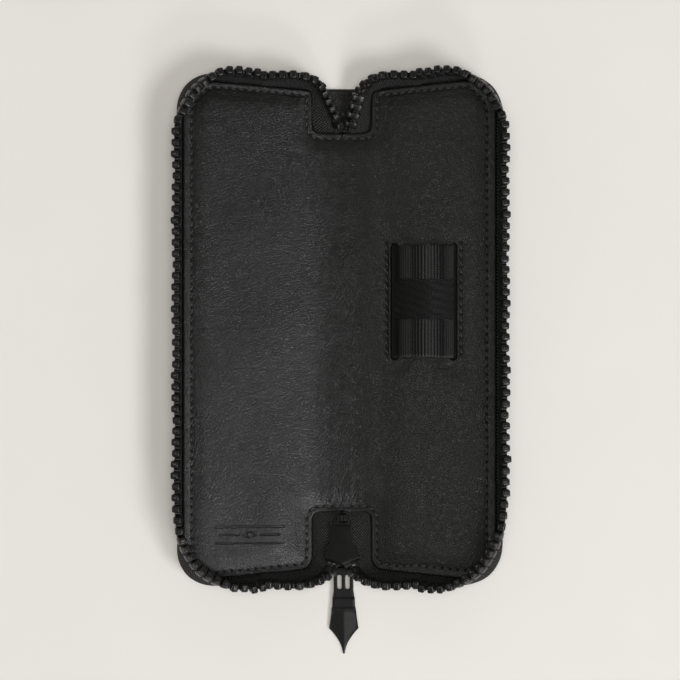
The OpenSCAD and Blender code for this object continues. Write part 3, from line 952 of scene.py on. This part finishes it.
runs = {(side, end): zip_run(side, end) for side in SIGN for end in ("top", "bottom")}
for k, kind in enumerate(("tape", "teeth")):
    for side in SIGN:
        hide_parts(f"{side}_bend_{kind}")
    for end in ("top", "bottom"):
        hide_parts(f"{end}_tape_end" if kind == "tape" else f"{end}_end_teeth")

# ---------------- thread


def thread_shape(length, width, high):
    """One stitch: a short length of thread that comes out of one hole and dives into the next."""
    c, s = circle(6)
    rings = []
    for t in np.linspace(0, 1, 7):
        z = high * math.sin(math.pi * t) ** 0.6 - 0.12 if 0 < t < 1 else -0.25
        fat = width / 2 * (0.55 + 0.45 * math.sin(math.pi * t))
        rings.append(stacked((t - 0.5) * length, fat * c, z + fat * s))
    return loft(rings)


def pit_shape(r):
    """A needle hole: a shallow dished rim round its bottom; its near-black material is painted shade."""
    c, s = circle(9)
    return loft([stacked(r * grow * c, r * grow * s, z)
                 for grow, z in ((1.25, -0.12), (1.0, 0.07), (0.8, 0.05), (0.35, -0.05))])


STITCH = thread_shape(1.75, 0.5, 0.26)
PIT = pit_shape(0.48)
SLANT = math.radians(16)
LOOP_SLANT = math.radians(20)
LOOP_SEAM_UP = 0.28


def stitches(lines, place, normal, slant=SLANT):
    """Thread and needle holes along flat lines of (u, v) points, with each stitch between two holes."""
    thread, pits = [], []
    for line in lines:
        s = lengths(line)
        for k, at in enumerate(np.arange(STITCH_PITCH / 2, s[-1], STITCH_PITCH)):
            for shape, into, shift in ((STITCH, thread, 0.0), (PIT, pits, STITCH_PITCH / 2)):
                u, v = along_line(at + shift + np.array([-0.1, 0.1]), s, line).T
                ends, up = place(u, v), normal(u.mean())
                along = unit(ends[1] - ends[0])
                lean = slant * (1 + 0.25 * math.sin(k * 2.3))
                along = along * math.cos(lean) + np.cross(up, along) * math.sin(lean)
                into.append(placed(shape, ends.mean(0), unit(along), up))
    return joined(thread), joined(pits)


def inset_line(points, d):
    """An open line moved sideways by d, to its left."""
    return points + d * left_of(tangents(points))


def lining_stitches(side):
    """The thread round a leaf's lining and beside both notches."""
    outline = resample(lining_outline(side), 0.6)
    outline = outline[outline[:, 0] > 0.05]
    line = inset_line(outline, STITCH_IN + seam_extra(side, *outline.T)[:, None])
    thread, pits = stitches([line], lambda u, v: bent(side, u, v, -0.05),
                            lambda u: bent_normal(side, u), SLANT * SIGN[side])
    pieces = [new_piece(side + "_lining_stitches", *thread, THREAD),
              new_piece(side + "_lining_needle_holes", *pits, HOLE_SHADE)]
    for piece in pieces:
        settle(piece, "thread")
        blend_over_fold(piece, side, *LINING_BLEND)
    return pieces[0]


def cover_stitches(side):
    """The same seam where it shows on the outside of the cover."""
    outline = resample(cover_outline(), 0.8)
    line = inset_line(outline[outline[:, 0] > FOLD_X + 2], COVER_STITCH_IN)
    thread, _ = stitches([line], lambda u, v: bent(side, u, v, 0.08, COVER_BENDS),
                         lambda u: -bent_normal(side, u))
    settle(new_piece(side + "_cover_stitches", *thread, THREAD), "thread", side + "_leaf")


seams = {side: lining_stitches(side) for side in SIGN}
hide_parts("left_stitching", "top_notch_stitching", "bottom_notch_stitching")
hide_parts("right_stitching")
for side in SIGN:
    cover_stitches(side)

# ---------------- pen loop

BAND_T = 0.8
BAND_RISE = 7.6
BAND_PEAK = 0.25
RIB = 1.08
BLOCK_HALF = 6.4
BLOCK_UP = 0.6
ELASTIC = elastic("ribbed_elastic", 0.012, RIB, (LOOP_HIGH - LOOP_LOW) / 2 + BLOCK_UP, BLOCK_HALF)


def band_line():
    """The elastic's path across the leaf, as (u from the loop's middle, height above the lining)."""
    t = np.linspace(-1, 1, 81)
    from_peak = np.where(t < BAND_PEAK, (BAND_PEAK - t) / (1 + BAND_PEAK), (t - BAND_PEAK) / (1 - BAND_PEAK))
    arch = stacked(LOOP_HALF * t, BAND_RISE * (1 - from_peak ** 2.2))
    legs = np.array([[LOOP_HALF, -0.4], [LOOP_HALF + 0.1, -0.9]])
    return np.concatenate([(legs * [-1, 1])[::-1], arch, legs])


def pen_loop():
    s = lengths(band_line())
    fine = np.arange(0, s[-1], 0.15)
    path = along_line(fine, s, band_line())
    u, v = np.meshgrid(fine, np.arange(LOOP_LOW, LOOP_HIGH + 0.01, 0.45), indexing="ij")
    from_middle = v - (LOOP_LOW + LOOP_HIGH) / 2 - BLOCK_UP
    block = smooth((BLOCK_HALF - np.abs(from_middle)) / 0.8)
    ribs = np.abs(np.sin(math.pi * u / RIB)) ** 0.6
    twill = 0.5 + 0.5 * np.sin(2 * math.pi * (u + 0.8 * from_middle) / 0.95)
    selvedge = 1 - smooth(np.minimum(v - LOOP_LOW, LOOP_HIGH - v) / 0.9)
    height = 0.5 * ribs * (1 - block) + block * (0.32 + 0.1 * twill) - 0.2 * selvedge
    bow = 0.4 * np.exp(-(v - LOOP_LOW) / 2.0) * np.sin(math.pi * u / fine[-1]) ** 2
    points = path[:, None, :] + left_of(tangents(path))[:, None, :] * (height[..., None] * 0.8 - 0.1)
    grid = bent("right", LOOP_U + points[..., 0], v + bow, points[..., 1])
    piece = grid_sheet("elastic_pen_loop", grid, BAND_T, ELASTIC, sharp=80)
    settle(piece, "elastic", "right_leaf", "pen_loop")


def loop_stitches():
    """A row of thread beside each slit, on the leather's puff between them and its edge."""
    vs = np.arange(LOOP_LOW - 1.5, LOOP_HIGH + 1.6, 0.5)
    thread, pits = stitches([stacked(LOOP_U + at, vs) for at in LOOP_SEAM_AT.values()],
                            lambda u, v: bent("right", u, v, LOOP_SEAM_UP),
                            lambda u: bent_normal("right", u), LOOP_SLANT)
    settle(new_piece("loop_stitches", *thread, THREAD), "thread", "right_leaf", "loop_stitching")
    settle(new_piece("loop_needle_holes", *pits, HOLE_SHADE), "thread", "right_leaf")


pen_loop()
loop_stitches()

# ---------------- hard parts


def plated(outline, low, high, bevel, top=None, step=0.5):
    """A flat part with rounded edges between two heights; top(x, y, d) lowers the upper face."""
    verts, tris = flat_mesh(outline, step, (bevel * 0.12, bevel * 0.35, bevel * 0.65, bevel))
    d = edge_distance(verts, [outline])
    x, y = verts.T
    drop = rounded(d, bevel)
    upper = high - drop - (top(x, y, d) if top else 0)
    points = np.concatenate([stacked(x, y, upper), stacked(x, y, low + drop)])
    return points, slab_faces(tris, len(verts))


def mirrored(half):
    """A closed outline from its right half, which runs from one point on the middle to the other."""
    half = np.asarray(half, float)
    return np.concatenate([half, (half * [-1, 1])[::-1]])


def round_bar(half, r):
    """A straight bar along x, with domed ends."""
    c, s = circle(16)
    dome = [(0.02, 0.4), (0.1, 0.75), (0.3, 1.0)]
    stations = [(d - half, grow) for d, grow in dome] + [(half - d, grow) for d, grow in dome[::-1]]
    return loft([stacked(x, r * grow * c, r * grow * s) for x, grow in stations])


def swept(path, half, thick):
    """A strip of even width along a path in the plane across x, closed, with softened edges."""
    b, t = min(0.2, thick * 0.3), thick / 2
    section = [(b - half, t), (half - b, t), (half, t - b), (half, b - t),
               (half - b, -t), (b - half, -t), (-half, b - t), (-half, t - b)]
    return loft([np.array([(x, *(p + w * up)) for x, w in section])
                 for p, up in zip(path, left_of(tangents(path)))])


# ---------------- slider

TAIL, NOSE = corner("slider_body")[1], low_corner("slider_body")[1]
SHOULDER = -71.9
PLATE_LOW, PLATE_TOP = low_corner("slider_body")[2], corner("slider_body")[2]
PLATE_T = 0.9
STRAP_Z = low_corner("slider_bridge")[2] + 0.35


def slider_outline():
    half = through([(3.32, TAIL, 0), (3.36, TAIL - 2.6, 0), (3.7, TAIL - 4.8, 0), (4.6, TAIL - 7.2, 0),
                    (5.5, SHOULDER + 0.6, 0)], 15)[:, :2]
    front = [[5.72, SHOULDER], [5.55, SHOULDER - 0.5], [3.0, NOSE + 0.75], [0.6, NOSE + 0.06], [0, NOSE]]
    return mirrored(np.concatenate([[[3.0, TAIL], [3.24, TAIL - 0.12]], half[1:], front]))


def slider_dome(x, y, d):
    """The plate's slight crown, and the wider bevel along its two front edges."""
    slope = (SHOULDER - 0.5 - NOSE) / 5.55
    front = (y - NOSE - slope * np.abs(x)) / math.hypot(1, slope)
    return 0.06 * (1 - smooth(d / 2.4)) + 0.46 * np.clip(0.8 - front, 0, 0.8)


def slider():
    outline = slider_outline()
    post = mirrored([[0, SHOULDER + 1.6], [1.25, SHOULDER - 0.5], [0.9, NOSE + 0.7], [0, NOSE + 0.35]])[1:]
    flange = np.array([[5.62, SHOULDER - 0.2], [4.75, TAIL - 7.9], [3.95, TAIL - 6.0],
                       [3.55, TAIL - 6.2], [4.3, TAIL - 8.2], [5.0, SHOULDER - 0.2]])
    shell = [plated(outline, PLATE_TOP - PLATE_T, PLATE_TOP, 0.22, top=slider_dome, step=0.3),
             plated(outline, PLATE_LOW, PLATE_LOW + PLATE_T, 0.3, step=0.7),
             plated(post, PLATE_LOW + 0.3, PLATE_TOP - 0.3, 0.1)]
    shell += [plated(flange * [way, 1], low, low + 1.35, 0.12)
              for way in (-1, 1) for low in (PLATE_TOP - 1.75, PLATE_LOW + 0.4)]
    path = through([(0, TAIL - 1.2, PLATE_LOW + 0.3), (0, TAIL - 1.4, STRAP_Z + 0.9),
                    (0, TAIL - 2.2, STRAP_Z), (0, SHOULDER + 3.9, STRAP_Z), (0, NOSE + 0.8, STRAP_Z),
                    (0, NOSE + 0.15, STRAP_Z + 0.8), (0, NOSE + 0.25, PLATE_LOW + 0.3)], 40)[:, 1:]
    for name, shape, node in (("slider_shell", joined(shell), "slider_body"),
                              ("slider_strap", swept(path, 1.5, 0.7), "slider_bridge")):
        settle(new_piece(name, *shape, METAL, sharp=40), "black_metal", "slider", node)


slider()

# ---------------- puller

PIVOT_Y, PIVOT_Z = (JOINTS["puller_swing"]["pos_m"][k] / MM for k in (1, 2))
PULLER_T = 1.25
PULLER_TIP = -30.9
COLLAR = (-12.9, -16.0)
PULLER_SHIFT = 0.45
PULLER_YAW = math.radians(0.4)
WIDEST = -22.7
HEAD_HALF = 3.12
# The two round-ended slots in its head: how far from the middle, half their width, where they end
SLOT_X, SLOT_HALF, SLOT_ENDS = 1.27, 0.68, (-5.67, -10.33)


def puller_place(points):
    """From the puller's own frame, which starts at its crossbar, to the row frame."""
    drop = math.asin((PIVOT_Z - PULLER_T / 2 - 0.07) / -PULLER_TIP)
    c, s = math.cos(drop), math.sin(drop)
    x, y, z = points.T
    x, y = PULLER_SHIFT + x - y * math.sin(PULLER_YAW), y + x * math.sin(PULLER_YAW)
    return stacked(x, PIVOT_Y + y * c - z * s, PIVOT_Z + y * s + z * c)


def puller_outline():
    sides = [(1.8, -3.4), (1.8, 0.55), (2.9, 0.55), (HEAD_HALF, 0.3), (HEAD_HALF, -10.8), (3.4, -12.5),
             (3.55, COLLAR[0]), (3.62, COLLAR[1] + 0.1), (3.8, COLLAR[1] - 0.1), (4.2, -19.6),
             (4.62, WIDEST + 0.3)]
    t = np.linspace(0, 1, 14)
    taper = stacked(4.7 - 4.35 * (1 - (1 - t) ** 1.75), WIDEST + (PULLER_TIP + 0.25 - WIDEST) * t)
    tip = [(0.2, PULLER_TIP + 0.05), (0, PULLER_TIP)]
    return mirrored(np.concatenate([[(0, -3.4)], sides, taper, tip]))[:-1]


def puller_relief(x, y):
    """Two fine grooves round the collar, and a ridge down the middle from there to the tip."""
    lines = sum(np.exp(-((y - at) / 0.16) ** 2) for at in COLLAR)
    below = smooth((COLLAR[1] - 0.4 - y) / 1.5)
    ridge = below * 0.34 * np.minimum(np.abs(x) / 3.6, 1.1)
    collar = smooth((COLLAR[0] - y) / 0.3) * (1 - smooth((COLLAR[1] - y) / 0.3))
    return 0.2 * lines + ridge + 0.06 * (1 - collar) * (1 - below)


def puller():
    outline = puller_outline()
    high, low = (SLOT_ENDS[0] - SLOT_HALF, SLOT_ENDS[1] + SLOT_HALF)
    slots = [np.concatenate([arc(x, high, SLOT_HALF, 0, 180, 9), arc(x, low, SLOT_HALF, 180, 360, 9)])
             for x in (-SLOT_X, SLOT_X)]
    middle = np.array([[0, y] for y in np.arange(PULLER_TIP + 1, COLLAR[1], 0.4)])
    verts, tris = flat_mesh(outline, 0.45, (0.05, 0.16, 0.36), slots, middle)
    d = edge_distance(verts, [outline, *slots])
    high = PULLER_T / 2 - rounded(d, 0.36) - puller_relief(*verts.T) * smooth(d / 0.36)
    points = np.concatenate([stacked(*verts.T, z) for z in (high, -high)])
    head = new_piece("nib_shaped_puller", puller_place(points), slab_faces(tris, len(verts)), PULLER_METAL,
                     sharp=32)
    verts, faces = round_bar(HEAD_HALF, 0.45)
    settle(head, "black_metal", "puller", "nib_puller")
    settle(new_piece("puller_pin", puller_place(verts), faces, METAL), "black_metal", "puller",
           "puller_crossbar")


puller()

# ---------------- zip stops


def stop_block(name, node, ridges):
    """A small moulded block over the chain's end, with grooves across it."""

    def grooves(x, y, d):
        return 0.28 * sum(np.exp(-((x - at) / 0.16) ** 2) for at in ridges)

    low, high = low_corner(node), corner(node)
    block = plated(round_box(*low[:2], *high[:2], 0.55), low[2], high[2], 0.3, top=grooves, step=0.25)
    settle(new_piece(name, *block, METAL, sharp=40), "black_metal", "spine", node)


stop_block("retainer_box", "bottom_stop", (0.45,))
stop_block("end_stop", "top_stop", (-0.6, 0.6))

# ---------------- board and foam, seen only at the edges

for node, material in (("spine_board", BOARD), ("left_board", BOARD), ("right_board", BOARD),
                       ("left_foam", FOAM), ("right_foam", FOAM)):
    bpy.data.objects[node].material_slots[0].material = material

# ---------------- floor, light and camera

VIEW_AT = (-0.6, -3.2)
VIEW_HEIGHT = 900.0
FLOOR_TONE = (0.81, 0.79, 0.765)
FLOOR_HALF = 3.0


def plain_floor():
    n = Nodes("floor_plain")
    colour = n.ramp(n.noise(n.place(), 0.02, 3.0, 0.6), FLOOR_TONE, (0.3, 0.99), (0.7, 1.01))
    mesh = bpy.data.meshes.new("floor")
    corners = [(x * FLOOR_HALF, y * FLOOR_HALF, 0) for x, y in ((-1, -1), (1, -1), (1, 1), (-1, 1))]
    mesh.from_pydata(corners, [], [(0, 1, 2, 3)])
    mesh.materials.append(n.finish(colour, 0.9, Specular_IOR_Level=0.1))
    link("floor", mesh)


def area_light(name, direction, distance, size, power, tint=(1, 1, 1), glossy=True, diffuse=True):
    """A round softbox that faces the case. Some only make gloss on the leather, some only light the floor."""
    data = bpy.data.lights.new(name, "AREA")
    data.shape, data.size, data.energy, data.color = "DISK", size, power, tint
    obj = link(name, data)
    way = Vector(direction).normalized()
    obj.location = way * distance
    obj.rotation_mode = "QUATERNION"
    obj.rotation_quaternion = way.to_track_quat("Z", "Y")
    obj.visible_glossy, obj.visible_diffuse = glossy, diffuse


plain_floor()
area_light("key_softbox", (0.48, -0.37, 1.0), 1.6, 0.5, 8.8, tint=(0.97, 0.99, 1.0))
area_light("low_softbox", (0.8, -0.45, 1.0), 2.2, 1.0, 5.5, diffuse=False)
area_light("side_softbox", (-0.56, -0.05, 1.0), 2.0, 0.6, 4.0, diffuse=False)
area_light("front_softbox", (0.3, -0.75, 0.65), 2.0, 0.4, 5.0)
area_light("back_softbox", (0.3, 0.9, 0.8), 2.6, 1.2, 1.6)
area_light("overhead_softbox", (0.0, 0.0, 1.0), 2.5, 0.9, 28.5, tint=(1.0, 0.98, 0.94), glossy=False)
world = bpy.data.worlds.new("studio")
world.use_nodes = True
backdrop = world.node_tree.nodes["Background"].inputs
backdrop["Color"].default_value = (1.0, 0.955, 0.88, 1)
backdrop["Strength"].default_value = 0.175
bpy.context.scene.world = world
bpy.context.scene.view_settings.view_transform = "Standard"

camera_data = bpy.data.cameras.new("camera")
camera_data.lens, camera_data.sensor_width = 150.0, 36.0
camera = link("camera", camera_data)
camera.location = (VIEW_AT[0] * MM, VIEW_AT[1] * MM, VIEW_HEIGHT * MM)
bpy.context.scene.camera = camera
